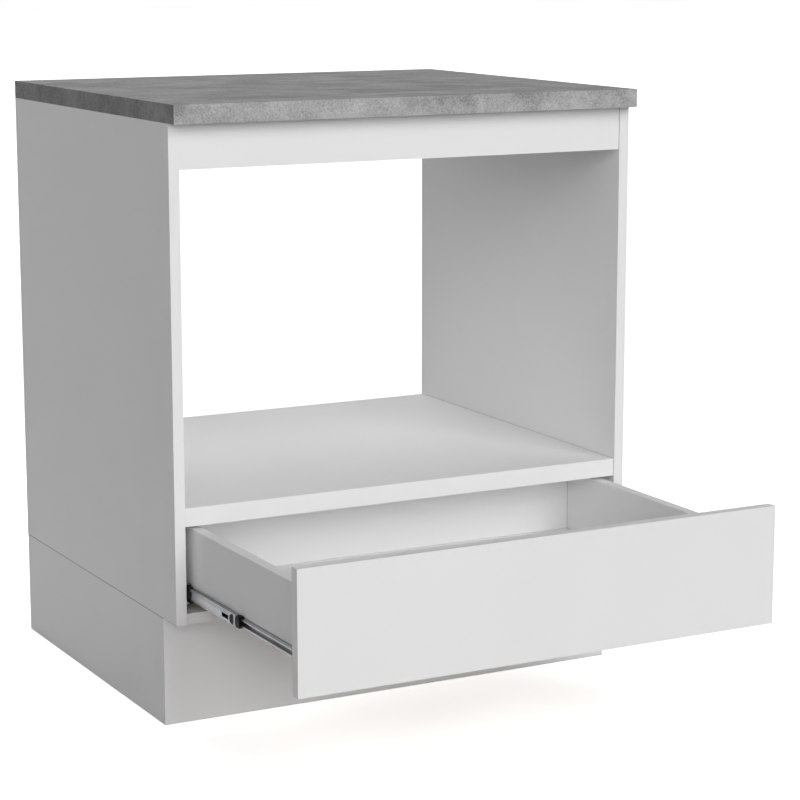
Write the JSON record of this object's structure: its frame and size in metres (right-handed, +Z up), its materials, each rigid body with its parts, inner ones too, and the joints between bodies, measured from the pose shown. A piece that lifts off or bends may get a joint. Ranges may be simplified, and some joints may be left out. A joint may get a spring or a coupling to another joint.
{
  "type": "microwave cabinet",
  "caption": "Open-backed kitchen base cabinet with an appliance bay over a drawer on ball-bearing slides, under a laminate worktop, standing on a plinth box.",
  "frame": {"origin": "on the floor, at the middle of the cabinet's width, in the plane of its back", "axes": "+X to the right as seen from the front, +Y towards the wall behind, +Z up; the drawer pulls out towards -Y. The stored pose has the drawer pulled out 350 mm, as pictured."},
  "size_m": [0.7, 0.9465, 0.838],
  "materials": {
    "white_melamine": "satin melamine on particle board",
    "concrete_laminate": "matt mottled grey laminate",
    "white_hardboard": "painted face on hardboard",
    "softwood_block": "planed softwood",
    "beech_dowel": "fluted beech",
    "slide_zinc": "zinc-plated rolled steel",
    "bright_steel": "zinc-plated",
    "bearing_steel": "polished",
    "yellow_zinc": "yellow-passivated zinc",
    "cam_zinc": "die-cast zinc",
    "black_plastic": "moulded"
  },
  "bodies": {
    "carcass": {"worktop": "concrete_laminate", "side_left": "white_melamine", "side_right": "white_melamine", "front_rail": "white_melamine", "back_rail": "white_melamine", "shelf": "white_melamine", "bottom_panel": "white_melamine", "lower_back_panel": "white_hardboard", "plinth_front": "white_melamine", "plinth_back": "white_melamine", "plinth_side_left": "white_melamine", "plinth_side_right": "white_melamine", "plinth_corner_blocks": "softwood_block", "plinth_block_screws": "yellow_zinc", "worktop_brackets": "bright_steel", "bracket_screws": "yellow_zinc", "carcass_cams": "cam_zinc", "carcass_cam_bolts": "bright_steel", "carcass_dowels": "beech_dowel", "back_panel_nails": "bright_steel", "slide_outer_left": "slide_zinc", "slide_outer_right": "slide_zinc", "slide_rear_bumpers": "black_plastic", "cabinet_slide_screws": "bright_steel"},
    "drawer": {"slide_inner_left": "slide_zinc", "slide_inner_right": "slide_zinc", "drawer_slide_screws": "bright_steel", "drawer_front": "white_melamine", "drawer_side_left": "white_melamine", "drawer_side_right": "white_melamine", "drawer_back": "white_melamine", "drawer_bottom": "white_hardboard", "drawer_cams": "cam_zinc", "drawer_cam_bolts": "bright_steel", "drawer_dowels": "beech_dowel", "drawer_back_screws": "yellow_zinc", "drawer_bottom_nails": "bright_steel"},
    "left_middle_member": {"slide_middle_left": "slide_zinc", "middle_stop_left": "black_plastic"},
    "left_outer_ball_cage": {"outer_cage_left": "black_plastic", "outer_balls_left": "bearing_steel"},
    "left_inner_ball_cage": {"inner_cage_left": "black_plastic", "inner_balls_left": "bearing_steel"},
    "right_middle_member": {"slide_middle_right": "slide_zinc", "middle_stop_right": "black_plastic"},
    "right_outer_ball_cage": {"outer_cage_right": "black_plastic", "outer_balls_right": "bearing_steel"},
    "right_inner_ball_cage": {"inner_cage_right": "black_plastic", "inner_balls_right": "bearing_steel"}
  },
  "joints": [
    {"name": "drawer_slide", "type": "slide", "parent": "carcass", "child": "drawer", "axis": [0, -1, 0], "range_m": [-0.35, 0.1]},
    {"name": "left_middle_member_slide", "type": "slide", "parent": "carcass", "child": "left_middle_member", "axis": [0, -1, 0], "range_m": [-0.175, 0.05]},
    {"name": "left_outer_ball_cage_slide", "type": "slide", "parent": "carcass", "child": "left_outer_ball_cage", "axis": [0, -1, 0], "range_m": [-0.0875, 0.025]},
    {"name": "left_inner_ball_cage_slide", "type": "slide", "parent": "carcass", "child": "left_inner_ball_cage", "axis": [0, -1, 0], "range_m": [-0.2625, 0.0751]},
    {"name": "right_middle_member_slide", "type": "slide", "parent": "carcass", "child": "right_middle_member", "axis": [0, -1, 0], "range_m": [-0.175, 0.05]},
    {"name": "right_outer_ball_cage_slide", "type": "slide", "parent": "carcass", "child": "right_outer_ball_cage", "axis": [0, -1, 0], "range_m": [-0.0875, 0.025]},
    {"name": "right_inner_ball_cage_slide", "type": "slide", "parent": "carcass", "child": "right_inner_ball_cage", "axis": [0, -1, 0], "range_m": [-0.2625, 0.0751]}
  ],
  "couplings": [
    {"joint": "left_middle_member_slide", "follows": "drawer_slide", "ratio": 0.5},
    {"joint": "left_outer_ball_cage_slide", "follows": "drawer_slide", "ratio": 0.25},
    {"joint": "left_inner_ball_cage_slide", "follows": "drawer_slide", "ratio": 0.75},
    {"joint": "right_middle_member_slide", "follows": "drawer_slide", "ratio": 0.5},
    {"joint": "right_outer_ball_cage_slide", "follows": "drawer_slide", "ratio": 0.25},
    {"joint": "right_inner_ball_cage_slide", "follows": "drawer_slide", "ratio": 0.75}
  ]
}
